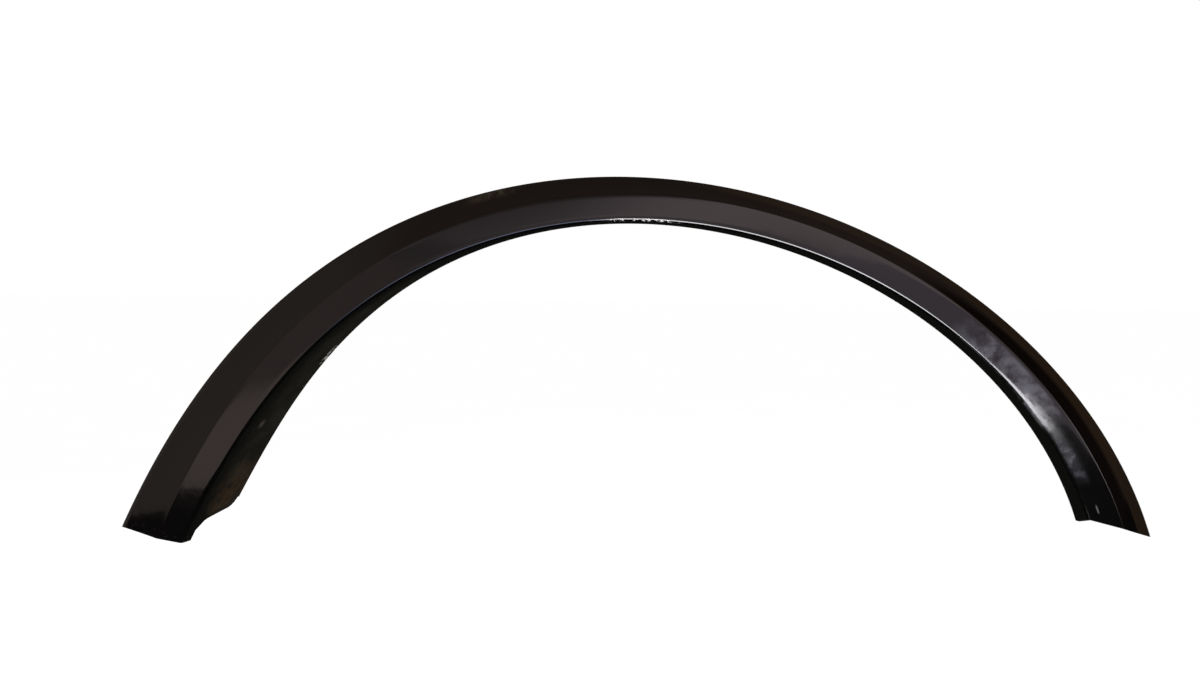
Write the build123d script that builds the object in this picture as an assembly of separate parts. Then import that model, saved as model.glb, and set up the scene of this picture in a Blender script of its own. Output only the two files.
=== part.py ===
from build123d import *
from math import acos, cos, radians, sin, tan
import os

# Wheel arch trim, in millimetres. X runs along the car, Y into the car, Z up.
# The arch is first drawn round the wheel centre, then moved so that the crown
# screw hole in the return flange is the origin.

# Sizes at six places round the arch, from the left leg over the crown to the right leg
STATIONS = (170, 140, 110, 80, 50, 20)
CREASE_RADIUS = (469.5, 437.0, 433.0, 436.5, 442.0, 435.0)
OUTER_WIDTH = (47.0, 33.0, 21.0, 13.0, 13.0, 18.5)
OUTER_DEPTH = (11.0, 10.0, 9.5, 8.5, 8.0, 8.0)
OUTER_HOLLOW = (0.4, 0.4, 0.5, 0.7, 0.9, 1.0)
INNER_WIDTH = (23.5, 26.0, 24.0, 21.5, 20.0, 25.0)
FLANGE_DEPTH = (54.0, 59.0, 49.5, 44.0, 46.0, 42.0)
FLANGE_LEAN = (4.5, 0.0, -4.0, 0.5, 3.0, 1.0)

# Sizes that stay the same all round
BOW = 36.0
INNER_DEPTH = 2.0
WALL = 2.5
CREASE_FILLET = 1.2
ROLL_RADIUS = 3.0
EDGE_BEVEL = 0.8
FIRST_ANGLE = 14
LAST_ANGLE = 174
ANGLE_STEP = 16

# Straight cuts across the two ends: angles on the outer edge and on the rolled edge
LEFT_END = (166.2, 165.2)
LEFT_END_TILT = 0.0
RIGHT_END = (21.9, 26.0)
RIGHT_END_TILT = 13.0
TOOL_REACH = 150.0

# Step that shortens the flange above the left end, as depth and height from the rolled corner there
STEP_FRONT = 12.5
STEP_LOW = 10.5
STEP_SLANT = 7.0
STEP_HIGH = 19.5
STEP_REAR_HEIGHT = 25.0
STEP_CORNER = 10.0
STEP_REAR = 55.0

# Screw holes in the flange, the middle one at the crown
HOLE_ANGLES = (65, 90, 115)
HOLE_RADIUS = 3.25
HOLE_SETBACK = 30.0
DRILL_REACH = 10.0

# Push-in clips: head plate, neck, collar, and an arrow of two legs swept back from a middle rib
CLIP_ANGLES = (154, 137, 120, 103, 86, 69, 52, 35)
HEAD_SIZE = 11.4
HEAD_THICK = 1.8
HEAD_CHAMFER = 1.5
NECK_SIZE = 6.0
COLLAR_SIZE = 15.0
COLLAR_THICK = 1.4
COLLAR_CHAMFER = 3.5
ARROW_THICK = 4.0
RIB_WIDTH = 2.4
TIP_WIDTH = 2.0
TIP_HEIGHT = 13.0
CROTCH_HEIGHT = 9.0
BARB_WIDTH = 9.2
BARB_HEIGHT = 3.6
FOOT_WIDTH = 6.6
FOOT_HEIGHT = 1.4
FOOT_THICK = 1.0

# Clip seats on the back, each a box open at one end with a slot in its roof
SEAT_LENGTH = 22.0
SEAT_INSET = 3.0
SEAT_HEIGHT = 14.0
SEAT_WALL = 2.0
SEAT_ROOF = 2.2
SEAT_FLOOR = 0.5
HEAD_CLEARANCE = 0.3
NECK_CLEARANCE = 0.3
ROOF_CLEARANCE = 0.2

# Gussets between the face and the flange
GUSSET_ANGLES = (145, 128, 111, 94, 77, 60, 43)
GUSSET_THICK = 2.0
GUSSET_REACH = 15.0


def law(values, angle):
    """Smooth curve through the values at the stations."""
    total = 0.0
    for i, value in enumerate(values):
        weight = 1.0
        for j, station in enumerate(STATIONS):
            if j != i:
                weight *= (angle - station) / (STATIONS[i] - station)
        total += value * weight
    return total


def corners(angle):
    """Outer edge, crease, rolled corner and flange edge as (radius, depth)."""
    radius = law(CREASE_RADIUS, angle)
    depth = BOW * cos(radians(angle)) ** 2
    crease = Vector(radius, depth)
    outer = crease + Vector(law(OUTER_WIDTH, angle), law(OUTER_DEPTH, angle))
    roll = crease + Vector(-law(INNER_WIDTH, angle), INNER_DEPTH)
    flange = roll + Vector(-law(FLANGE_LEAN, angle), law(FLANGE_DEPTH, angle))
    return outer, crease, roll, flange


def place(point, angle):
    """Point of a section, put at its angle round the wheel centre."""
    turn = radians(angle)
    return Vector(point.X * cos(turn), point.Y, point.X * sin(turn))


def offset_line(start, end, gap):
    """Both ends of a line moved sideways into the hollow behind the face."""
    along = (end - start).normalized()
    side = Vector(along.Y, -along.X) * gap
    return start + side, end + side


def meet(first, second):
    """Crossing point of two lines."""
    p, q = first
    r, s = second
    d = q - p
    e = s - r
    k = ((r.X - p.X) * e.Y - (r.Y - p.Y) * e.X) / (d.X * e.Y - d.Y * e.X)
    return p + d * k


def behind(angle, gap):
    """The four corners of the section moved back from the face by a gap."""
    outer, crease, roll, flange = corners(angle)
    face = offset_line(outer, crease, gap)
    lip = offset_line(crease, roll, gap)
    leaf = offset_line(roll, flange, gap)
    return face[0], meet(face, lip), meet(lip, leaf), leaf[1]


def rounding(before, corner, after, radius):
    """Start, middle and end of the arc that rounds a corner."""
    a = (before - corner).normalized()
    b = (after - corner).normalized()
    half = acos(a.dot(b)) / 2
    middle = (a + b).normalized()
    reach = radius / tan(half)
    top = corner + middle * (radius / sin(half) - radius)
    return corner + a * reach, top, corner + b * reach


def section(angle):
    """Closed outline of the moulding at one angle."""
    outer, crease, roll, flange = corners(angle)
    outer_b, crease_b, roll_b, flange_b = behind(angle, WALL)
    c1, c2, c3 = rounding(outer, crease, roll, CREASE_FILLET)
    r1, r2, r3 = rounding(crease, roll, flange, ROLL_RADIUS)
    across = (outer_b - outer).normalized()
    sag = across * law(OUTER_HOLLOW, angle)
    bevel = outer + (across + (outer - crease).normalized()) * EDGE_BEVEL
    edge = outer_b + (outer - crease).normalized() * EDGE_BEVEL

    def at(point):
        return place(point, angle)

    return Wire([
        Edge.make_three_point_arc(at(outer), at((outer + c1) * 0.5 + sag), at(c1)),
        Edge.make_three_point_arc(at(c1), at(c2), at(c3)),
        Edge.make_line(at(c3), at(r1)),
        Edge.make_three_point_arc(at(r1), at(r2), at(r3)),
        Edge.make_line(at(r3), at(flange)),
        Edge.make_line(at(flange), at(flange_b)),
        Edge.make_line(at(flange_b), at(roll_b)),
        Edge.make_line(at(roll_b), at(crease_b)),
        Edge.make_three_point_arc(at(crease_b), at((crease_b + edge) * 0.5 + sag), at(edge)),
        Edge.make_line(at(edge), at(bevel)),
        Edge.make_line(at(bevel), at(outer)),
    ])


def space_behind(angle, gap):
    """Straight stretch of the space behind the face, starting a gap behind it."""
    outer, crease, roll, _ = behind(angle, gap)
    back = Vector(0, 2 * SEAT_HEIGHT)
    points = [outer, crease, roll, roll + back, outer + back]
    outline = Wire.make_polygon([place(p, angle) for p in points], close=True)
    along = place(corners(angle + 1)[1], angle + 1) - place(corners(angle - 1)[1], angle - 1)
    return extrude(Face(outline), amount=SEAT_LENGTH, dir=along.normalized(), both=True)


def end_cut(on_outer, on_roll, slope):
    """Block that lies beyond a plane through two points of the face."""
    a = place(corners(on_outer)[0], on_outer)
    b = place(corners(on_roll)[2], on_roll)
    normal = (a - b).cross(Vector(0, cos(radians(slope)), -sin(radians(slope))))
    if normal.Z > 0:
        normal = normal * -1
    plane = Plane(origin=(a + b) * 0.5, x_dir=Vector(0, 1, 0).cross(normal), z_dir=normal)
    from_plane = (Align.CENTER, Align.CENTER, Align.MIN)
    return plane * Box(2 * TOOL_REACH, 2 * TOOL_REACH, TOOL_REACH, align=from_plane)


def flange_step():
    """Prism that takes away the flange above the left end."""
    corner = place(corners(LEFT_END[1])[2], LEFT_END[1])
    flat = STEP_REAR - STEP_CORNER
    rise = STEP_REAR_HEIGHT + STEP_CORNER
    inset = STEP_CORNER * (1 - cos(radians(45)))

    def at(depth, height):
        return corner + Vector(0, depth, height)

    outline = Wire([
        Edge.make_line(at(STEP_FRONT, -TOOL_REACH), at(STEP_FRONT, STEP_LOW)),
        Edge.make_line(at(STEP_FRONT, STEP_LOW), at(STEP_FRONT + STEP_SLANT, STEP_HIGH)),
        Edge.make_line(at(STEP_FRONT + STEP_SLANT, STEP_HIGH), at(flat, STEP_REAR_HEIGHT)),
        Edge.make_three_point_arc(
            at(flat, STEP_REAR_HEIGHT),
            at(STEP_REAR - inset, STEP_REAR_HEIGHT + inset),
            at(STEP_REAR, rise)),
        Edge.make_line(at(STEP_REAR, rise), at(TOOL_REACH, rise)),
        Edge.make_line(at(TOOL_REACH, rise), at(TOOL_REACH, -TOOL_REACH)),
        Edge.make_line(at(TOOL_REACH, -TOOL_REACH), at(STEP_FRONT, -TOOL_REACH)),
    ])
    return extrude(Face(outline), amount=TOOL_REACH, dir=(1, 0, 0), both=True)


def seat_plane(angle):
    """Frame of a clip seat: x outward, y round the arch, z into the car."""
    crease = corners(angle)[1]
    origin = place(crease - Vector(SEAT_INSET, 0), angle)
    turn = radians(angle)
    return Plane(origin=origin, x_dir=(cos(turn), 0, sin(turn)), z_dir=(0, 1, 0))


def plate(size, low, high):
    """Square plate between two heights above the crease."""
    return Pos(0, 0, low) * Box(size, size, high - low, align=(Align.CENTER, Align.CENTER, Align.MIN))


def arrow(low):
    """Middle rib with two legs that run back from its tip, above a height."""
    half = [
        (RIB_WIDTH / 2, 0),
        (RIB_WIDTH / 2, CROTCH_HEIGHT),
        (FOOT_WIDTH / 2 - FOOT_THICK, FOOT_HEIGHT),
        (FOOT_WIDTH / 2, FOOT_HEIGHT),
        (BARB_WIDTH / 2, BARB_HEIGHT),
        (TIP_WIDTH / 2, TIP_HEIGHT),
    ]
    points = half + [(-x, z) for x, z in reversed(half)]
    outline = Wire.make_polygon([(x, 0, low + z) for x, z in points], close=True)
    return extrude(Face(outline), amount=ARROW_THICK / 2, dir=(0, 1, 0), both=True)


def clip():
    """One push-in clip, its collar resting on the roof of its seat."""
    top = SEAT_HEIGHT - SEAT_ROOF - ROOF_CLEARANCE
    head = plate(HEAD_SIZE, top - HEAD_THICK, top)
    collar = plate(COLLAR_SIZE, SEAT_HEIGHT, SEAT_HEIGHT + COLLAR_THICK)
    head = chamfer(head.edges().filter_by(Axis.Z), HEAD_CHAMFER)
    collar = chamfer(collar.edges().filter_by(Axis.Z), COLLAR_CHAMFER)
    return head + plate(NECK_SIZE, top, SEAT_HEIGHT) + collar + arrow(SEAT_HEIGHT + COLLAR_THICK)


def clip_seat(angle):
    """Hollow box with one open end and a slot in its roof for a clip's neck."""
    inside = SEAT_HEIGHT - SEAT_ROOF
    pocket_width = HEAD_SIZE + 2 * HEAD_CLEARANCE
    slot_width = NECK_SIZE + 2 * NECK_CLEARANCE
    from_rear = (Align.CENTER, Align.MIN, Align.MAX)
    block = Pos(0, -SEAT_LENGTH / 2, SEAT_HEIGHT) * Box(
        pocket_width + 2 * SEAT_WALL, SEAT_LENGTH, 2 * SEAT_HEIGHT, align=from_rear)
    pocket = Pos(0, SEAT_WALL - SEAT_LENGTH / 2, inside) * Box(
        pocket_width, SEAT_LENGTH, 2 * SEAT_HEIGHT, align=from_rear)
    slot = Pos(0, -slot_width / 2, 2 * SEAT_HEIGHT) * Box(
        slot_width, SEAT_LENGTH, 2 * SEAT_HEIGHT, align=from_rear)
    frame = seat_plane(angle)
    hollow = (frame * (pocket + slot)) & space_behind(angle, WALL + SEAT_FLOOR)
    return ((frame * block) & space_behind(angle, WALL / 2)) - hollow


def gusset(angle):
    """Thin web across the corner between face and flange."""
    _, crease, roll, flange = behind(angle, WALL / 2)
    low = roll + (flange - roll).normalized() * GUSSET_REACH
    outline = Wire.make_polygon([place(p, angle) for p in (roll, crease, low)], close=True)
    turn = radians(angle)
    return extrude(Face(outline), amount=GUSSET_THICK / 2, dir=(-sin(turn), 0, cos(turn)), both=True)


def hole_place(angle):
    """Centre of a screw hole on the visible side of the flange."""
    roll, flange = corners(angle)[2:]
    return place(roll + (flange - roll) * (HOLE_SETBACK / law(FLANGE_DEPTH, angle)), angle)


def screw_hole(angle):
    """Drill through the flange, pointing at the wheel centre."""
    turn = radians(angle)
    plane = Plane(origin=hole_place(angle), z_dir=(cos(turn), 0, sin(turn)))
    return plane * Cylinder(HOLE_RADIUS, 2 * DRILL_REACH)


steps = (LAST_ANGLE - FIRST_ANGLE) // ANGLE_STEP
shell = Solid.make_loft([section(FIRST_ANGLE + i * ANGLE_STEP) for i in range(steps + 1)])
added = [clip_seat(angle) for angle in CLIP_ANGLES] + [gusset(angle) for angle in GUSSET_ANGLES]
taken = [screw_hole(angle) for angle in HOLE_ANGLES]
taken += [end_cut(*LEFT_END, LEFT_END_TILT), end_cut(*RIGHT_END, RIGHT_END_TILT), flange_step()]
trim = shell.fuse(*[piece.solid() for piece in added])
trim = trim.cut(*[piece.solid() for piece in taken])

home = Pos(hole_place(HOLE_ANGLES[1]) * -1)

os.makedirs("parts", exist_ok=True)
export_step(home * trim, "parts/arch_trim.step")
for number, angle in enumerate(CLIP_ANGLES, 1):
    export_step(home * (seat_plane(angle) * clip()), f"parts/clip_{number}.step")
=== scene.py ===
import bpy
import math
import numpy as np
from mathutils import Matrix, Vector


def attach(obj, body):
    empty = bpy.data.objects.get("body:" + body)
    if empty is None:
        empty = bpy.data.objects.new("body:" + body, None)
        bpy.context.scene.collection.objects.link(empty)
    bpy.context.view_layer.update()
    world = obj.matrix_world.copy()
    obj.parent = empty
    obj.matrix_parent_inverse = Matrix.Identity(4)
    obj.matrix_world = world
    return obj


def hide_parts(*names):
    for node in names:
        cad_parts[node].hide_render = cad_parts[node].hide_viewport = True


MM = 0.001

# Angles round the wheel centre, in degrees: six places from the left leg to the right leg, and the crown
STATIONS = (170, 140, 110, 80, 50, 20)
CROWN = 90.0

# Sizes of the moulding in millimetres, those in brackets at the six places
CREASE_RADIUS = (469.5, 437.0, 433.0, 436.5, 442.0, 435.0)
OUTER_WIDTH = (47.0, 33.0, 21.0, 13.0, 13.0, 18.5)
OUTER_DEPTH = (11.0, 10.0, 9.5, 8.5, 8.0, 8.0)
OUTER_HOLLOW = (0.4, 0.4, 0.5, 0.7, 0.9, 1.0)
INNER_WIDTH = (23.5, 26.0, 24.0, 21.5, 20.0, 25.0)
FLANGE_DEPTH = (54.0, 59.0, 49.5, 44.0, 46.0, 42.0)
FLANGE_LEAN = (4.5, 0.0, -4.0, 0.5, 3.0, 1.0)
BOW = 36.0
INNER_DEPTH = 2.0
WALL = 2.5
CREASE_FILLET = 1.2
ROLL_RADIUS = 3.0
EDGE_ROUND = 0.8
FLANGE_ROUND = 0.3

# Ends of the moulding: angles on the outer edge and on the rolled edge and tilts of the cuts, in degrees, and
# the step in the left flange, in millimetres
LEFT_END = (166.2, 165.2)
LEFT_END_TILT = 0.0
RIGHT_END = (21.9, 26.0)
RIGHT_END_TILT = 13.0
STEP_FRONT = 12.5
STEP_LOW = 10.5
STEP_SLANT = 7.0
STEP_HIGH = 19.5
STEP_REAR_HEIGHT = 25.0
STEP_CORNER = 10.0
STEP_REAR = 55.0

# Screw holes, clip seats and gussets: angles round the arch in degrees, sizes in millimetres
HOLE_ANGLES = (65, 90, 115)
HOLE_RADIUS = 3.25
HOLE_SETBACK = 30.0
DRILL_LENGTH = 20.0
CLIP_ANGLES = (154, 137, 120, 103, 86, 69, 52, 35)
SEAT_LENGTH = 22.0
SEAT_WIDTH = 16.0
SEAT_WALL = 2.0
SEAT_INSET = 3.0
SEAT_HEIGHT = 14.0
SEAT_ROOF = 2.2
SLOT_WIDTH = 6.6
GUSSET_ANGLES = (145, 128, 111, 94, 77, 60, 43)
GUSSET_THICK = 2.0
GUSSET_REACH = 15.0

# Share of the wall, measured from the face, at which the walls of a clip seat begin
SEAT_ROOT = 0.6

# Mesh density: columns round the arch, rows across each stretch of the section, sides of a screw hole, and
# rows on a rounded edge as (share of the way across the wall, share of the rounding's height)
COLUMNS = 300
OUTER_ROWS = 8
CREASE_ROWS = 5
INNER_ROWS = 5
ROLL_ROWS = 9
HOLE_SIDES = 48
EDGE_ROWS = ((0.15, 0.72), (0.5, 1.0), (0.85, 0.72))

# Columns before they lean to meet the ends, and the share of the arch over which they lean
FIRST_COLUMN = max(RIGHT_END)
LAST_COLUMN = 160.0
LEAN_SHARE = 0.12

# Band numbers across the section, which tell the materials where a point lies
OUTER_BANDS = (0.0, 0.96)
CREASE_BAND = 1.0
INNER_BANDS = (1.04, 1.9)
ROLL_BANDS = (1.92, 2.08)
FLANGE_BANDS = (2.1, 3.0)
BACK_BAND = 4.0

# Band number on the roll at which the gloss ends and the matt flange begins
MATT_FROM = 2.05

# Material slots of the moulding, and the angle between faces from which an edge is sharp
GLOSS_SLOT = 0
FLANGE_SLOT = 1
BACK_SLOT = 2
SHARP_ANGLE = 40.0

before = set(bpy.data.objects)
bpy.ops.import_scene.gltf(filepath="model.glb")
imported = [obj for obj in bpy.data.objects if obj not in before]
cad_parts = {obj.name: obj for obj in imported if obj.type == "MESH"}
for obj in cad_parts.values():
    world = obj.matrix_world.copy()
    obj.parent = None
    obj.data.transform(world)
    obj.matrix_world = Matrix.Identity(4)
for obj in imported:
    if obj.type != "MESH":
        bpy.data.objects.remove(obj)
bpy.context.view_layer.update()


def law(values, angle):
    """Smooth curve through the values at the stations."""
    total = 0.0
    for i, value in enumerate(values):
        weight = 1.0
        for j, station in enumerate(STATIONS):
            if j != i:
                weight = weight * (angle - station) / (STATIONS[i] - station)
        total = total + value * weight
    return total


def corners(angle):
    """Outer edge, crease, rolled corner and flange edge as (radius, depth)."""
    crease = np.array([law(CREASE_RADIUS, angle), BOW * math.cos(math.radians(angle)) ** 2])
    outer = crease + [law(OUTER_WIDTH, angle), law(OUTER_DEPTH, angle)]
    roll = crease + [-law(INNER_WIDTH, angle), INNER_DEPTH]
    flange = roll + [-law(FLANGE_LEAN, angle), law(FLANGE_DEPTH, angle)]
    return outer, crease, roll, flange


def unit(v):
    return v / np.hypot(v[0], v[1])


def between(span, share):
    return span[0] + (span[1] - span[0]) * share


def back_normal(start, end):
    """Direction from a stretch of the face into the hollow behind it."""
    along = unit(end - start)
    return np.array([along[1], -along[0]])


def wheel_centre_place(point, angle):
    """Place of a section's point, in millimetres from the wheel centre."""
    turn = math.radians(angle)
    return np.array([point[0] * math.cos(turn), point[1], point[0] * math.sin(turn)])


def hole_place(angle):
    roll, flange = corners(angle)[2:]
    return wheel_centre_place(roll + (flange - roll) * HOLE_SETBACK / law(FLANGE_DEPTH, angle), angle)


# Origin of the part, the crown screw hole
HOME = hole_place(HOLE_ANGLES[1])


def place(point, angle):
    """Place of a section's point in the part's own frame, in metres."""
    return (wheel_centre_place(point, angle) - HOME) * MM


def rounded(before, corner, after, radius, count):
    """Points and back normals along the arc that rounds a corner."""
    back, ahead = unit(before - corner), unit(after - corner)
    half = math.acos(back @ ahead) / 2
    centre = corner + unit(back + ahead) * radius / math.sin(half)
    first = unit(corner + back * radius / math.tan(half) - centre)
    last = unit(corner + ahead * radius / math.tan(half) - centre)
    sweep = math.acos(np.clip(first @ last, -1, 1))
    rows = []
    for k in np.linspace(0, 1, count):
        outward = (first * math.sin((1 - k) * sweep) + last * math.sin(k * sweep)) / math.sin(sweep)
        rows.append((centre + outward * radius, -outward))
    return rows


# Rows of the flange as shares of its depth, two of them close by the front of the step at the left end,
# and the share that the first row keeps from the roll
STEP_SHARE = STEP_FRONT / law(FLANGE_DEPTH, LEFT_END[1])
STEP_GAP = 0.0001
BEFORE_STEP = (0.08, 0.14, STEP_SHARE - STEP_GAP)
PAST_STEP = (STEP_SHARE + STEP_GAP, 0.26, 0.3, 0.34, 0.4, 0.48, 0.58, 0.68,
             0.76, 0.82, 0.87, 0.91, 0.94, 0.97, 1.0)
ROLL_GAP = 0.005


def front(angle):
    """Points, back normals and band numbers down the visible side, from the outer edge to the flange edge."""
    outer, crease, roll, flange = corners(angle)
    bend = rounded(outer, crease, roll, CREASE_FILLET, CREASE_ROWS)
    lip = rounded(crease, roll, flange, ROLL_RADIUS, ROLL_ROWS)
    rows = []
    back = back_normal(outer, crease)
    for k in np.linspace(0, 1, OUTER_ROWS + 1)[:-1]:
        sag = 4 * k * (1 - k) * law(OUTER_HOLLOW, angle)
        rows.append((outer + (bend[0][0] - outer) * k + back * sag, back, between(OUTER_BANDS, k)))
    rows += [(point, normal, CREASE_BAND) for point, normal in bend]
    back = back_normal(crease, roll)
    for k in np.linspace(0, 1, INNER_ROWS + 2)[1:-1]:
        rows.append((bend[-1][0] + (lip[0][0] - bend[-1][0]) * k, back, between(INNER_BANDS, k)))
    for (point, normal), band in zip(lip, np.linspace(*ROLL_BANDS, ROLL_ROWS)):
        rows.append((point, normal, band))
    back = back_normal(roll, flange)
    start = np.hypot(*(lip[-1][0] - roll)) / np.hypot(*(flange - roll))
    for k in BEFORE_STEP + PAST_STEP:
        share = max(k, start + ROLL_GAP)
        rows.append((roll + (flange - roll) * share, back, between(FLANGE_BANDS, share)))
    return rows


def edge_round(start, end, outward, height):
    """Points that round the edge of the wall from one side to the other."""
    return [start + (end - start) * k + outward * height * rise for k, rise in EDGE_ROWS]


def outline(angle):
    """Closed ring of section points: visible side, flange edge, back, outer edge."""
    rows = front(angle)
    face = [point for point, _, _ in rows]
    back = [point + normal * WALL for point, normal, _ in rows]
    outer, crease, roll, flange = corners(angle)
    tail = edge_round(face[-1], back[-1], unit(flange - roll), FLANGE_ROUND)
    lead = edge_round(back[0], face[0], unit(outer - crease), EDGE_ROUND)
    return face + tail + back[::-1] + lead


# Points in a ring: on the visible side, on an edge's rounding, in all, the first past the step in the flange,
# and the first of the outer edge's rounding
BANDS = [band for _, _, band in front(CROWN)]
COUNT = len(BANDS)
TAIL = len(EDGE_ROWS)
RING = 2 * COUNT + 2 * TAIL
FIRST_PAST_STEP = COUNT - len(PAST_STEP)
LEAD = 2 * COUNT + TAIL
RING_BANDS = BANDS + [FLANGE_BANDS[1]] * TAIL + [BACK_BAND] * COUNT + [OUTER_BANDS[0]] * TAIL


def partner(i):
    """Index of the visible row that a ring point belongs to."""
    if i < COUNT:
        return i
    if i < COUNT + TAIL:
        return COUNT - 1
    if i < LEAD:
        return LEAD - 1 - i
    return 0


def plane_of(end, tilt):
    """Point and normal of an end cut, in millimetres from the wheel centre."""
    outer = wheel_centre_place(corners(end[0])[0], end[0])
    roll = wheel_centre_place(corners(end[1])[2], end[1])
    slope = math.radians(tilt)
    normal = np.cross(outer - roll, [0, math.cos(slope), -math.sin(slope)])
    return roll, normal if normal[2] > 0 else -normal


LEFT_CORNER = wheel_centre_place(corners(LEFT_END[1])[2], LEFT_END[1])


def step_height(depth):
    """Height at which the left flange ends, at a depth into the car."""
    depth = depth - LEFT_CORNER[1]
    slant, flat = STEP_FRONT + STEP_SLANT, STEP_REAR - STEP_CORNER
    past = np.clip(depth - flat, 0, STEP_CORNER)
    rise = STEP_CORNER - math.sqrt(STEP_CORNER ** 2 - past ** 2)
    line = np.interp(depth, (STEP_FRONT, slant, flat), (STEP_LOW, STEP_HIGH, STEP_REAR_HEIGHT))
    return LEFT_CORNER[2] + line + rise


# Angles at which the section is worked out, and those between which the two ends are looked for
GRID = np.arange(14.0, 174.01, 0.5)
RIGHT_SEARCH = np.linspace(14, 45, 400)
LEFT_SEARCH = np.linspace(140, 173, 400)
RINGS = np.array([outline(angle) for angle in GRID])


def ring_places(i, angles):
    """Places of one ring point at several angles, in millimetres from the wheel centre."""
    turn = np.radians(angles)
    radius = np.interp(angles, GRID, RINGS[:, i, 0])
    depth = np.interp(angles, GRID, RINGS[:, i, 1])
    return np.stack([radius * np.cos(turn), depth, radius * np.sin(turn)], axis=-1)


def crossing(angles, values):
    """First angle at which the values change sign."""
    k = np.flatnonzero(np.diff(np.sign(values)))[0]
    return angles[k] - values[k] * (angles[k + 1] - angles[k]) / (values[k + 1] - values[k])


def end_angles():
    """Angle of every ring point at the right and at the left end."""
    right_at, right_normal = plane_of(RIGHT_END, RIGHT_END_TILT)
    left_at, left_normal = plane_of(LEFT_END, LEFT_END_TILT)
    right, left = [], []
    for i in range(RING):
        right.append(crossing(RIGHT_SEARCH, (ring_places(i, RIGHT_SEARCH) - right_at) @ right_normal))
        points = ring_places(i, LEFT_SEARCH)
        if partner(i) >= FIRST_PAST_STEP:
            above = points[:, 2] - np.array([step_height(depth) for depth in points[:, 1]])
        else:
            above = (points - left_at) @ left_normal
        left.append(crossing(LEFT_SEARCH, above))
    return right, left


def column_angles():
    """Angle of every ring point in every column. The columns near an end lean to meet its cut."""
    right, left = end_angles()
    share = np.linspace(0, 1, COLUMNS)
    lean_right = np.clip(1 - share / LEAN_SHARE, 0, 1) ** 2
    lean_left = np.clip(1 - (1 - share) / LEAN_SHARE, 0, 1) ** 2
    base = between((FIRST_COLUMN, LAST_COLUMN), share)
    turned = []
    for i in range(RING):
        turned.append(base + (right[i] - FIRST_COLUMN) * lean_right + (left[i] - LAST_COLUMN) * lean_left)
    return turned


def shell_faces():
    """Faces of the shell, column by column, and then those of its two end cuts."""
    faces = []
    for j in range(COLUMNS - 1):
        for i in range(RING):
            k = (i + 1) % RING
            faces.append((j * RING + i, j * RING + k, (j + 1) * RING + k, (j + 1) * RING + i))
    cut = [(i, i + 1, LEAD - 2 - i, LEAD - 1 - i) for i in range(COUNT - 1)]
    cut.append(range(COUNT - 1, COUNT + TAIL + 1))
    cut.append([*range(LEAD - 1, RING), 0])
    for j, flip in ((0, True), (COLUMNS - 1, False)):
        for ring in cut:
            cap = [j * RING + k for k in ring]
            faces.append(tuple(cap[::-1] if flip else cap))
    return faces


def add_block(verts, faces, bottom, top):
    """Closed block between two rings of the same number of points."""
    start, count = len(verts), len(bottom)
    verts += bottom + top
    faces.append(tuple(range(start + count - 1, start - 1, -1)))
    faces.append(tuple(range(start + count, start + 2 * count)))
    for i in range(count):
        j = (i + 1) % count
        faces.append((start + i, start + j, start + count + j, start + count + i))


def seat_point(angle, x, y, height):
    """Point of a clip seat: x outward, y round the arch, height above the crease in millimetres."""
    turn = math.radians(angle)
    outward = np.array([math.cos(turn), 0, math.sin(turn)])
    along = np.array([math.sin(turn), 0, -math.cos(turn)])
    base = wheel_centre_place(corners(angle)[1] - [SEAT_INSET, 0], angle)
    return (base + x * outward + y * along + [0, height, 0] - HOME) * MM


def wall_height(angle, x, y):
    """Height above the crease at which a clip seat's wall begins, inside the wall of the face."""
    middle = corners(angle)[1]
    outer, crease, roll, _ = corners(angle - math.degrees(y / middle[0]))
    radius = middle[0] - SEAT_INSET + x
    end = outer if radius > crease[0] else roll
    slope = (end[1] - crease[1]) / (end[0] - crease[0])
    return crease[1] + slope * (radius - crease[0]) + SEAT_ROOT * WALL - middle[1]


def seat(verts, faces, angle):
    """Walls and slotted roof of one clip seat."""
    half, long, inside = SEAT_WIDTH / 2, SEAT_LENGTH / 2, SEAT_HEIGHT - SEAT_ROOF
    walls = (
        (-half, -half + SEAT_WALL, -long, long),
        (half - SEAT_WALL, half, -long, long),
        (-half + SEAT_WALL, half - SEAT_WALL, -long, -long + SEAT_WALL),
    )
    for x0, x1, y0, y1 in walls:
        ring = [(x0, y0), (x0, y1), (x1, y1), (x1, y0)]
        add_block(verts, faces, [seat_point(angle, x, y, wall_height(angle, x, y)) for x, y in ring],
                  [seat_point(angle, x, y, inside) for x, y in ring])
    slot = SLOT_WIDTH / 2
    ring = [(-half, -long), (-half, long), (-slot, long), (-slot, -slot)]
    ring += [(-x, y) for x, y in reversed(ring)]
    add_block(verts, faces, [seat_point(angle, x, y, inside) for x, y in ring],
              [seat_point(angle, x, y, SEAT_HEIGHT) for x, y in ring])


def gusset(verts, faces, angle):
    """Thin web across the corner between face and flange."""
    crease, roll, flange = corners(angle)[1:]
    lip, leaf = back_normal(crease, roll), back_normal(roll, flange)
    inner = roll + lip * WALL / 2 + leaf * WALL / 2
    ring = [inner, crease + lip * WALL / 2, inner + unit(flange - roll) * GUSSET_REACH]
    turn = math.radians(angle)
    side = np.array([-math.sin(turn), 0, math.cos(turn)]) * GUSSET_THICK / 2 * MM
    add_block(verts, faces, [place(p, angle) + side for p in ring], [place(p, angle) - side for p in ring])


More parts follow.
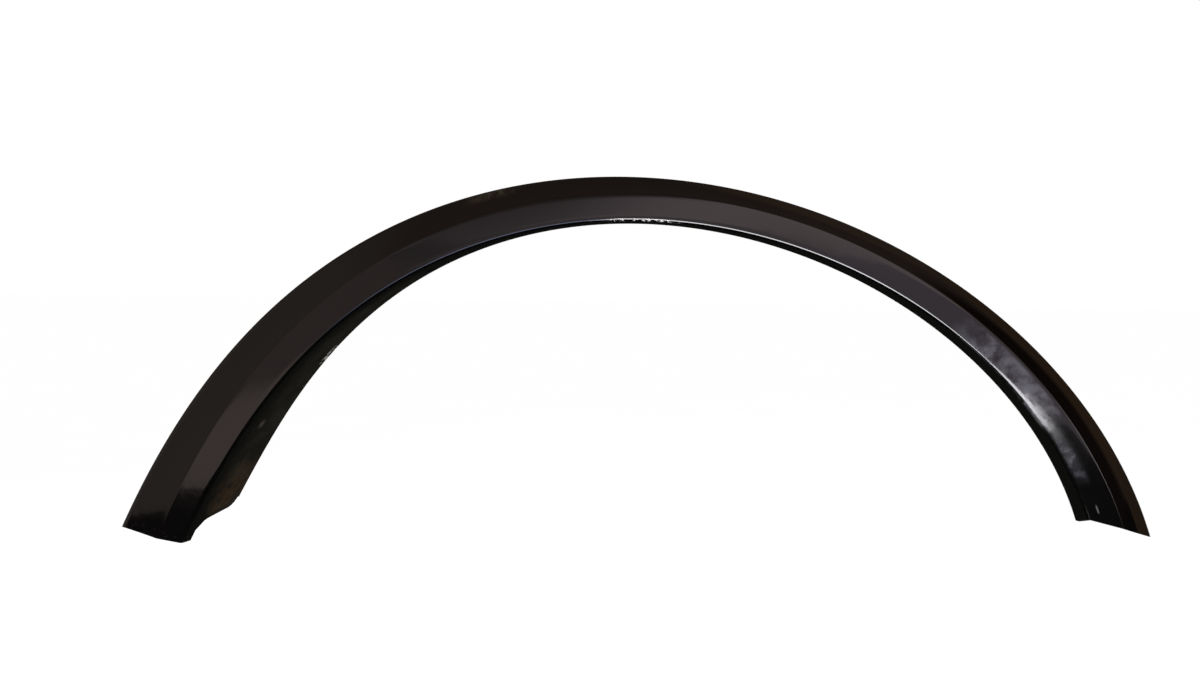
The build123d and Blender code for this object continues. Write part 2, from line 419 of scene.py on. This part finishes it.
def build_trim():
    """Mesh of the moulding with a band number and an angle on every point, and its number of shell faces."""
    turned = column_angles()
    grid = np.stack([ring_places(i, turned[i]) for i in range(RING)], axis=1)
    verts = list((grid.reshape(-1, 3) - HOME) * MM)
    faces = shell_faces()
    shell_count = len(faces)
    for angle in CLIP_ANGLES:
        seat(verts, faces, angle)
    for angle in GUSSET_ANGLES:
        gusset(verts, faces, angle)
    extra = len(verts) - RING * COLUMNS
    bands = RING_BANDS * COLUMNS + [BACK_BAND] * extra
    angles = list(np.stack(turned, axis=1).ravel()) + [CROWN] * extra
    mesh = bpy.data.meshes.new("arch_trim_skin")
    mesh.from_pydata([tuple(v) for v in verts], [], faces)
    mesh.attributes.new("band", "FLOAT", "POINT").data.foreach_set("value", bands)
    mesh.attributes.new("angle", "FLOAT", "POINT").data.foreach_set("value", angles)
    mesh.validate()
    mesh.update()
    return mesh, shell_count


def ring_slot(i):
    """Material slot of the shell's faces that start at a ring point."""
    if i >= LEAD or (i < COUNT and RING_BANDS[i] < MATT_FROM):
        return GLOSS_SLOT
    return FLANGE_SLOT if i < COUNT + TAIL else BACK_SLOT


def fill_slots(mesh, shell_count):
    """Gloss on the face and the end cuts, matt on the flange, satin on the back, seats and gussets."""
    columns = (COLUMNS - 1) * RING
    slots = np.full(len(mesh.polygons), BACK_SLOT, dtype=np.int32)
    slots[:columns] = [ring_slot(i) for i in range(RING)] * (COLUMNS - 1)
    slots[columns:shell_count] = GLOSS_SLOT
    mesh.polygons.foreach_set("material_index", slots)


def link(name, data):
    """New object in the scene."""
    obj = bpy.data.objects.new(name, data)
    bpy.context.scene.collection.objects.link(obj)
    return obj


def drill(obj):
    """Cut the screw holes through the flange."""
    for angle in HOLE_ANGLES:
        turn = math.radians(angle)
        axis = Vector((math.cos(turn), 0, math.sin(turn)))
        middle = Vector((hole_place(angle) - HOME) * MM)
        spin = axis.to_track_quat("Z", "Y").to_matrix().to_4x4()
        bpy.ops.mesh.primitive_cylinder_add(
            vertices=HOLE_SIDES, radius=HOLE_RADIUS * MM, depth=DRILL_LENGTH * MM)
        cutter = bpy.context.object
        cutter.matrix_world = Matrix.Translation(middle) @ spin
        cut = obj.modifiers.new("screw_hole", "BOOLEAN")
        cut.operation = "DIFFERENCE"
        cut.solver = "EXACT"
        cut.object = cutter
        bpy.context.view_layer.objects.active = obj
        bpy.ops.object.modifier_apply(modifier=cut.name)
        bpy.data.objects.remove(cutter)


def rgba(r, g, b):
    return (r, g, b, 1.0)


class Nodes:
    """Short names for building a material's node tree."""

    def __init__(self, name):
        self.material = bpy.data.materials.new(name)
        self.material.use_nodes = True
        self.tree = self.material.node_tree
        self.shader = self.tree.nodes["Principled BSDF"]
        self.object = self.node("ShaderNodeTexCoord").outputs["Object"]

    def node(self, kind, **values):
        made = self.tree.nodes.new(kind)
        for key, value in values.items():
            setattr(made, key, value)
        return made

    def put(self, socket, value):
        """Link another node's output to a socket, or set the socket to a constant."""
        if isinstance(value, bpy.types.NodeSocket):
            self.tree.links.new(value, socket)
        else:
            socket.default_value = value

    def set(self, name, value):
        self.put(self.shader.inputs[name], value)

    def attribute(self, name):
        return self.node("ShaderNodeAttribute", attribute_name=name).outputs["Fac"]

    def axes(self):
        made = self.node("ShaderNodeSeparateXYZ")
        self.put(made.inputs[0], self.object)
        return made.outputs

    def math(self, operation, a, b):
        made = self.node("ShaderNodeMath", operation=operation)
        self.put(made.inputs[0], a)
        self.put(made.inputs[1], b)
        return made.outputs[0]

    def times(self, product, *factors):
        for factor in factors:
            product = self.math("MULTIPLY", product, factor)
        return product

    def add_up(self, total, parts):
        """A constant and several masks, each by its share."""
        for mask, share in parts:
            total = self.math("ADD", total, self.math("MULTIPLY", mask, share))
        return total

    def ramp(self, value, low, high, to_low=0.0, to_high=1.0):
        """Smooth step from one value to another, between two levels."""
        made = self.node("ShaderNodeMapRange", interpolation_type="SMOOTHSTEP")
        sockets = ("Value", "From Min", "From Max", "To Min", "To Max")
        for name, given in zip(sockets, (value, low, high, to_low, to_high)):
            self.put(made.inputs[name], given)
        return made.outputs["Result"]

    def window(self, value, low, high, soft):
        """One between low and high, fading out over soft."""
        up = self.ramp(value, low - soft, low + soft)
        down = self.ramp(value, high - soft, high + soft, 1.0, 0.0)
        return self.math("MULTIPLY", up, down)

    def area(self, a, a_window, b, b_window):
        """One inside the windows of two values."""
        return self.times(self.window(a, *a_window), self.window(b, *b_window))

    def noise(self, scale, detail=2.0, rough=0.5):
        made = self.node("ShaderNodeTexNoise")
        self.put(made.inputs["Vector"], self.object)
        made.inputs["Scale"].default_value = scale
        made.inputs["Detail"].default_value = detail
        made.inputs["Roughness"].default_value = rough
        return made.outputs["Fac"]

    def patches(self, scale, detail, rough, low, high, least=0.0):
        """Noise cut to soft patches, which rise from the least value to one between two levels."""
        return self.ramp(self.noise(scale, detail, rough), low, high, least)

    def mix(self, factor, a, b):
        made = self.node("ShaderNodeMix", data_type="RGBA")
        self.put(made.inputs["Factor"], factor)
        self.put(made.inputs["A"], a)
        self.put(made.inputs["B"], b)
        return made.outputs["Result"]

    def cover(self, colour, layers):
        """Colour with layers over it, each given by its mask, its strength and its colour."""
        for mask, strength, tone in layers:
            colour = self.mix(self.math("MULTIPLY", mask, strength), colour, rgba(*tone))
        return colour

    def bump(self, height, strength, distance):
        made = self.node("ShaderNodeBump")
        made.inputs["Strength"].default_value = strength
        made.inputs["Distance"].default_value = distance
        self.put(made.inputs["Height"], height)
        return made.outputs["Normal"]


# Marks on the face. A place is a window (from, to, fade) or a rise (from, to), on the angle, on the band
# number or on x in metres.
# Patches are noise: scale, detail, roughness, the levels between which they rise, and the least value.
HAZE_PATCHES = (9.0, 4.0, 0.6, 0.45, 0.75)
# Smears on the right leg's inner facet, with a pale bluish haze painted over them as reflection: clouds,
# streaks and a wisp
SMEAR_REFLECTION_ANGLES = (37.5, 49.5, 2.5)
SMEAR_REFLECTION_BANDS = (1.12, 1.95, 0.1)
SMEAR_REFLECTION_CLOUDS = (34.0, 6.0, 0.6, 0.42, 0.6)
SMEAR_REFLECTION_STREAKS = (95.0, 4.0, 0.6, 0.22, 0.58)
WISP_ANGLES = (30.5, 37.0, 1.5)
WISP_BANDS = (1.52, 1.88, 0.14)
WISP_PATCHES = (62.0, 5.0, 0.62, 0.44, 0.6, 0.25)
# Greasy smear by the roll on the right leg, its hazy sheen painted on in pale grey
GREASE_SHEEN_ANGLES = (37.2, 42.0, 1.2)
GREASE_SHEEN_BANDS = (1.72, 1.9, 0.2)
GREASE_SHEEN_PATCHES = (55.0, 5.0, 0.62, 0.42, 0.6)
# Scratches along the roll at the top, painted near white as glints of the roll's highlight
CHIP_GLINT_X = (-0.002, 0.05, 0.007)
CHIP_GLINT_BANDS = (1.94, 2.025, 0.01)
CHIP_GLINT_PATCHES = (330.0, 3.0, 0.7, 0.5, 0.58)
SCUFF_X = (-0.124, -0.088, 0.014)
SCUFF_BANDS = (-0.1, 0.3, 0.15)
SCUFF_PATCHES = (90.0, 5.0, 0.7, 0.36, 0.66)
SCRAPE_ANGLES = (26.2, 27.0, 0.2)
SCRAPE_BANDS = (1.6, 1.62, 0.03)
TIP_ANGLES = (164.2, 165.4)
TIP_PATCHES = (220.0, 3.0, 0.7, 0.58, 0.66)
GLOSS_ROUGHNESS = 0.045
GLOSS_IOR = 1.5
DEEP_BLACK = (0.0012, 0.0011, 0.0011)
HAZY_BLACK = (0.002, 0.0018, 0.0018)


def gloss_black():
    """Polished black face: smears on the right leg with painted hazy reflection and sheen, painted glints on
    scratches along the roll, scuffs at the top and the ends.
    """
    nodes = Nodes("gloss_black")
    x = nodes.axes()["X"]
    band, angle = nodes.attribute("band"), nodes.attribute("angle")
    haze = nodes.patches(*HAZE_PATCHES)
    # Painted reflection: pale bluish haze over the smears on the right leg
    cloud = nodes.times(nodes.patches(*SMEAR_REFLECTION_CLOUDS), nodes.patches(*SMEAR_REFLECTION_STREAKS))
    smear_and_reflection = nodes.times(nodes.window(angle, *SMEAR_REFLECTION_ANGLES), cloud)
    wisp = nodes.times(nodes.area(angle, WISP_ANGLES, band, WISP_BANDS), nodes.patches(*WISP_PATCHES))
    smear_and_reflection = nodes.times(nodes.math("MAXIMUM", smear_and_reflection, wisp), nodes.window(band, *SMEAR_REFLECTION_BANDS))
    # Painted sheen: pale grey over a greasy smear by the roll
    grease_and_sheen = nodes.times(nodes.area(angle, GREASE_SHEEN_ANGLES, band, GREASE_SHEEN_BANDS), nodes.patches(*GREASE_SHEEN_PATCHES))
    # Painted glints: near white spots on scratches along the roll
    chip_glints = nodes.times(nodes.area(x, CHIP_GLINT_X, band, CHIP_GLINT_BANDS), nodes.patches(*CHIP_GLINT_PATCHES))
    scuff = nodes.times(nodes.area(x, SCUFF_X, band, SCUFF_BANDS), nodes.patches(*SCUFF_PATCHES))
    scrape = nodes.area(angle, SCRAPE_ANGLES, band, SCRAPE_BANDS)
    tip = nodes.times(nodes.ramp(angle, *TIP_ANGLES), nodes.patches(*TIP_PATCHES))
    nodes.set("Base Color", nodes.cover(nodes.mix(haze, rgba(*DEEP_BLACK), rgba(*HAZY_BLACK)), (
        # painted reflection on the smears
        (smear_and_reflection, 0.62, (0.12, 0.116, 0.14)),
        # painted sheen on the greasy smear
        (grease_and_sheen, 0.8, (0.5, 0.49, 0.53)),
        (scuff, 0.7, (0.035, 0.025, 0.016)),
        (tip, 0.15, (0.12, 0.11, 0.1)),
        (scrape, 0.6, (0.4, 0.39, 0.38)),
        # painted glints on the roll's scratches
        (chip_glints, 0.85, (0.7, 0.7, 0.72)),
    )))
    worn = ((haze, 0.025), (smear_and_reflection, 0.05), (grease_and_sheen, 0.15), (scuff, 0.35))
    nodes.set("Roughness", nodes.add_up(GLOSS_ROUGHNESS, worn))
    nodes.set("IOR", GLOSS_IOR)
    nodes.set("Normal", nodes.bump(nodes.noise(scale=60.0), strength=0.02, distance=0.001))
    return nodes.material


# Dust, dirt, marks and painted shade on the flange, given as on the face. A slope is (from, to, value at
# from, value at to).
# Band numbers over which the painted shade next to the roll gives way, further back, to dull tone, dust and
# dirt
CORNER_SHADE_BANDS = (2.15, 2.65)
TIP_SLOPE = (160.5, 162.5, 1.0, 0.0)
DUST_ANGLES = (108.0, 128.0)
DUST_SLOPE = (147.0, 152.0, 0.6, 1.1)
DUST_PATCHES = (30.0, 6.0, 0.66, 0.36, 0.72)
DIRT_ANGLES = (150.0, 159.0)
DIRT_PATCHES = (70.0, 5.0, 0.68, 0.34, 0.64)
SPECK_ANGLES = (115.0, 135.0)
SPECK_PATCHES = (420.0, 2.0, 0.6, 0.66, 0.74)
PALE_ANGLES = (133.0, 136.4, 0.4)
PALE_BANDS = (2.88, 3.1, 0.05)
PALE_PATCHES = (150.0, 4.0, 0.7, 0.46, 0.56)
SPOT_ANGLES = (146.3, 147.3, 0.5)
SPOT_BANDS = (2.42, 2.5, 0.05)
MATT_ROUGHNESS = 0.62
# Flange colours: the first is the clean flange and also the painted shade next to the roll
CLEAN_AND_SHADED_FLANGE = (0.004, 0.004, 0.0034)
DULL_FLANGE = (0.0074, 0.007, 0.0058)


def flange_black():
    """Matt side of the return flange: painted shade next to the roll, dusty on the left leg, brown dirt low
    down, pale scuffs on its edge.
    """
    nodes = Nodes("flange_black")
    band, angle = nodes.attribute("band"), nodes.attribute("angle")
    # Painted shade: next to the roll the flange keeps its darkest colour, without dull tone, dust or dirt
    unshaded_rear = nodes.times(nodes.ramp(band, *CORNER_SHADE_BANDS), nodes.ramp(angle, *TIP_SLOPE))
    dull = nodes.times(nodes.ramp(angle, *DUST_ANGLES), unshaded_rear)
    dust = nodes.times(nodes.patches(*DUST_PATCHES), dull, nodes.ramp(angle, *DUST_SLOPE))
    dirt = nodes.times(nodes.ramp(angle, *DIRT_ANGLES), nodes.patches(*DIRT_PATCHES), unshaded_rear)
    specks = nodes.times(nodes.ramp(angle, *SPECK_ANGLES), nodes.patches(*SPECK_PATCHES))
    pale = nodes.times(nodes.area(angle, PALE_ANGLES, band, PALE_BANDS), nodes.patches(*PALE_PATCHES))
    spot = nodes.area(angle, SPOT_ANGLES, band, SPOT_BANDS)
    nodes.set("Base Color", nodes.cover(nodes.mix(dull, rgba(*CLEAN_AND_SHADED_FLANGE), rgba(*DULL_FLANGE)), (
        (dust, 1.0, (0.017, 0.016, 0.0125)),
        (dirt, 0.66, (0.034, 0.0205, 0.0105)),
        (specks, 0.2, (0.08, 0.075, 0.065)),
        (spot, 0.5, (0.08, 0.065, 0.055)),
        (pale, 0.8, (0.36, 0.35, 0.32)),
    )))
    nodes.set("Roughness", nodes.add_up(MATT_ROUGHNESS, ((dust, 0.15),)))
    nodes.set("Specular IOR Level", 0.0)
    grain = nodes.noise(scale=900.0, detail=3.0, rough=0.6)
    nodes.set("Normal", nodes.bump(grain, strength=0.03, distance=0.0005))
    return nodes.material


# Plain moulded back and nylon of the clips: patches, two colours between which they vary, and roughness
BACK_PATCHES = (35.0, 4.0, 0.6, 0.35, 0.7)
BACK_COLOURS = ((0.026, 0.026, 0.027), (0.045, 0.044, 0.042))
BACK_ROUGHNESS = 0.36
NYLON_PATCHES = (160.0, 4.0, 0.6, 0.35, 0.7)
NYLON_COLOURS = ((0.62, 0.6, 0.54), (0.52, 0.48, 0.4))
NYLON_ROUGHNESS = 0.4


def back_black():
    """Back of the moulding, satin with faint flow marks."""
    nodes = Nodes("back_black")
    flow = nodes.patches(*BACK_PATCHES)
    nodes.set("Base Color", nodes.mix(flow, *(rgba(*colour) for colour in BACK_COLOURS)))
    nodes.set("Roughness", nodes.add_up(BACK_ROUGHNESS, ((flow, 0.18),)))
    nodes.set("Normal", nodes.bump(nodes.noise(scale=700.0), strength=0.12, distance=0.0005))
    return nodes.material


def nylon():
    """Natural nylon of the clips, slightly yellowed."""
    nodes = Nodes("nylon")
    age = nodes.patches(*NYLON_PATCHES)
    nodes.set("Base Color", nodes.mix(age, *(rgba(*colour) for colour in NYLON_COLOURS)))
    nodes.set("Roughness", nodes.add_up(NYLON_ROUGHNESS, ((age, 0.15),)))
    nodes.set("Normal", nodes.bump(nodes.noise(scale=1200.0), strength=0.1, distance=0.0003))
    return nodes.material


# The moulding, with its materials in the order of the slots
trim_mesh, trim_shell_count = build_trim()
trim = link("arch_trim_skin", trim_mesh)
for material in (gloss_black(), flange_black(), back_black()):
    trim_mesh.materials.append(material)
fill_slots(trim_mesh, trim_shell_count)
drill(trim)
trim.data.polygons.foreach_set("use_smooth", np.ones(len(trim.data.polygons), dtype=bool))
trim.data.set_sharp_from_angle(angle=math.radians(SHARP_ANGLE))
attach(trim, "root")
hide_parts("arch_trim")

# The clips keep their own solids and get the nylon
clip_material = nylon()
for name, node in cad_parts.items():
    if name.startswith("clip"):
        node.data.materials.clear()
        node.data.materials.append(clip_material)

# Studio in metres: pale floor at the height of the road, white surroundings and soft lamps. The road's depth
# below the wheel centre is in millimetres.
ROAD_BELOW_WHEEL = 360.0
FLOOR_HEIGHT = (-ROAD_BELOW_WHEEL - HOME[2]) * MM
FLOOR_HALF = 60.0
FLOOR_WHITES = ((0.985, 0.985, 0.985), (1.0, 1.0, 1.0))
CARD_ROUGHNESS = 0.9
BOARD_LIFT = 0.002
DOME_RADIUS = 58.0
DOME_SEGMENTS = 48
DOME_RINGS = 24

# Boards on the floor that only the gloss shows, glowing sheets of painted reflection that are no lamps, from
# the
# lowest to the highest: name, outline, colour, strength, and fades as (axis, from, to, share at from, share
# at to)
FRONT_COLOUR = (1.0, 0.83, 0.86)
FRONT_STRENGTH = 1.45
FRONT_FADE = ("X", -2.9, -0.3, 0.33, 1)
BOARDS = (
    ("left_board", ((-60, -60), (-4, -60), (-4, 0), (-60, 0)), (0.29, 0.235, 0.215), 1, ()),
    ("right_board", ((2, -0.9), (2, -60), (60, -60), (60, -33)), (0.27, 0.16, 0.085), 1, ()),
    ("right_black", ((2, -0.9), (60, -33), (60, 0), (2, 0)), (0.012, 0.008, 0.006), 1, ()),
    ("front_board", ((-4, -60), (2, -60), (2, -1.2), (-4, -1.2)),
     FRONT_COLOUR, FRONT_STRENGTH, (FRONT_FADE,)),
    ("front_near", ((-4, -5.6), (-0.3, -5.6), (0.1, -5.1), (0.43, -3.85), (0.2, -1.2), (-4, -1.2)),
     FRONT_COLOUR, FRONT_STRENGTH, (FRONT_FADE, ("Y", -5.6, -4.6, 1, 0.59))),
    ("near_right", ((0.2, -1.5), (2, -1.5), (2, -3.1), (0.62, -3.1), (0.45, -3.7), (0.2, -3.7)),
     (0.82, 0.7, 0.82), 1, ()),
    ("left_leg", ((-4, -6.5), (-2.75, -4.9), (-1.7, -3.2), (-1.1, -2.6), (-0.9, -1.9), (-0.8, -1.1),
                  (-4, -1.1)),
     (0.86, 0.68, 0.63), 1, (("Y", -1.86, -1.58, 0.54, 1),)),
    # Dark sheet of painted reflection over the floor in front, seen only in the gloss
    ("mat", ((-5.2, -2.35), (-1.3, -1.34), (-1, -1.14), (0.6, -1.63), (2, -1.9), (2, 3), (-5.2, 3)),
     (0.02, 0.018, 0.018), 1, ()),
    # Painted highlights: glowing boards, no lamps, for the bright line on the roll and a bluish line on its
    # left side
    ("roll_light", ((-0.2, -0.75), (0.03, -0.75), (0.22, -1.12), (0.62, -1.6), (0.6, -1.68), (0.42, -1.6),
                    (0.3, -1.9), (-0.36, -1.9)),
     (0.97, 0.97, 1.0), 18, ()),
    ("blue_light", ((-0.36, -1.9), (-0.2, -0.84), (-0.3, -0.8), (-1.05, -1.6), (-1.05, -1.9)),
     (0.6, 0.69, 1.0), 3.6, (("X", -1.05, -0.45, 0.3, 1),)),
)

# Dome that only the gloss shows, glowing as a painted reflection: its colour, and soft patches as azimuth
# from the front towards the right, elevation, angle of the full patch, angle at which it ends, colour
DOME_COLOUR = (0.2, 0.14, 0.112)
DOME_PATCHES = (
    (-62, 8, 8, 30, (0.29, 0.24, 0.215)),
    (48, 14, 14, 24, (0.33, 0.19, 0.1)),
    (30, 45, 12, 24, (0.34, 0.22, 0.15)),
    (98, 12, 30, 42, (0.03, 0.014, 0.008)),
)

# Lamps: name, place, point aimed at, width and height, power in watts
LAMPS = (
    ("crease_light", (1.55, -1.62, -0.34), (0.3, 0, -0.15), (0.42, 0.42), 3.5),
    ("key", (-1.7, 0.9, 1.3), (0, 0, -0.1), (1.2, 1.2), 10),
)


def sheet(name, points, height):
    """Flat sheet of the set. Returns the object and its material's nodes."""
    flat = bpy.data.meshes.new(name)
    flat.from_pydata([(x, y, height) for x, y in points], [], [tuple(range(len(points)))])
    obj = link(name, flat)
    nodes = Nodes(name + "_paint")
    nodes.set("Roughness", CARD_ROUGHNESS)
    nodes.set("Specular IOR Level", 0.0)
    flat.materials.append(nodes.material)
    return obj, nodes


def floor():
    """Wide pale floor, which takes the object's shadow."""
    side = FLOOR_HALF
    nodes = sheet("floor", ((-side, -side), (side, -side), (side, side), (-side, side)), FLOOR_HEIGHT)[1]
    nodes.set("Base Color", nodes.mix(nodes.noise(scale=3.0), *(rgba(*white) for white in FLOOR_WHITES)))


def gloss_only(obj):
    """Keep a card of the set out of the picture and out of the light: only gloss shows it."""
    for ray_kind in ("camera", "diffuse", "transmission", "volume_scatter", "shadow"):
        setattr(obj, "visible_" + ray_kind, False)


def paint(nodes, colour, strength=1.0):
    """Glowing colour for a card that only gloss shows: a painted reflection, which is no lamp."""
    nodes.set("Base Color", rgba(0, 0, 0))
    nodes.set("Specular IOR Level", 0.0)
    nodes.set("Emission Color", colour)
    nodes.set("Emission Strength", strength)


def boards():
    """Lay the boards on each other, each a little higher than the last."""
    height = FLOOR_HEIGHT
    for name, points, colour, strength, fades in BOARDS:
        height += BOARD_LIFT
        obj, nodes = sheet(name, points, height)
        for axis, *slope in fades:
            strength = nodes.math("MULTIPLY", nodes.ramp(nodes.axes()[axis], *slope), strength)
        paint(nodes, rgba(*colour), strength)
        gloss_only(obj)


def heading(azimuth, elevation):
    """Direction from the part at an azimuth and an elevation in degrees."""
    turn, rise = math.radians(azimuth), math.radians(elevation)
    return (math.sin(turn) * math.cos(rise), -math.cos(turn) * math.cos(rise), math.sin(rise))


def dome():
    """Dark dome round the set, glowing as a painted reflection, which keeps the black gloss black."""
    bpy.ops.mesh.primitive_uv_sphere_add(
        segments=DOME_SEGMENTS, ring_count=DOME_RINGS, radius=DOME_RADIUS)
    obj = bpy.context.object
    obj.name = "dome"
    nodes = Nodes("dome_painted_reflection")
    ray = nodes.node("ShaderNodeVectorMath", operation="NORMALIZE")
    nodes.put(ray.inputs[0], nodes.object)
    colour = rgba(*DOME_COLOUR)
    for azimuth, elevation, full, end, patch_colour in DOME_PATCHES:
        facing = nodes.node("ShaderNodeVectorMath", operation="DOT_PRODUCT")
        nodes.put(facing.inputs[0], ray.outputs[0])
        facing.inputs[1].default_value = heading(azimuth, elevation)
        edge = (math.cos(math.radians(end)), math.cos(math.radians(full)))
        colour = nodes.mix(nodes.ramp(facing.outputs["Value"], *edge), colour, rgba(*patch_colour))
    paint(nodes, colour)
    obj.data.materials.append(nodes.material)
    gloss_only(obj)


def lamp(name, at, aim, size, power):
    """Soft square lamp that the camera doesn't see."""
    data = bpy.data.lights.new(name, "AREA")
    data.shape = "RECTANGLE"
    data.size, data.size_y = size
    data.energy = power
    obj = link(name, data)
    obj.location = at
    obj.rotation_euler = (Vector(aim) - Vector(at)).to_track_quat("-Z", "Y").to_euler()
    obj.visible_camera = False


floor()
boards()
dome()
for row in LAMPS:
    lamp(*row)

world = bpy.data.worlds.new("studio")
bpy.context.scene.world = world
world.use_nodes = True
world.node_tree.nodes["Background"].inputs["Color"].default_value = rgba(1, 1, 1)
world.node_tree.nodes["Background"].inputs["Strength"].default_value = 1.0

# Camera as in the photograph: place in millimetres from the wheel centre, angles in degrees, sensor and lens
# in millimetres, and the nearest distance that it shows in metres
CAMERA_AT = (158.22, -804.15, 356.7)
CAMERA_PAN = 11.8
CAMERA_TILT = -2.69
CAMERA_ROLL = 0.67
CAMERA_SENSOR = 36.0
CAMERA_LENS = 30.0
CAMERA_NEAR = 0.01
camera = link("camera", bpy.data.cameras.new("camera"))
camera.data.sensor_width = CAMERA_SENSOR
camera.data.lens = CAMERA_LENS
camera.data.clip_start = CAMERA_NEAR
turn = Matrix.Rotation(math.radians(CAMERA_PAN), 4, "Z")
turn = turn @ Matrix.Rotation(math.radians(90 + CAMERA_TILT), 4, "X")
turn = turn @ Matrix.Rotation(math.radians(CAMERA_ROLL), 4, "Z")
camera.matrix_world = Matrix.Translation((np.array(CAMERA_AT) - HOME) * MM) @ turn
bpy.context.scene.camera = camera
bpy.context.scene.view_settings.view_transform = "Standard"
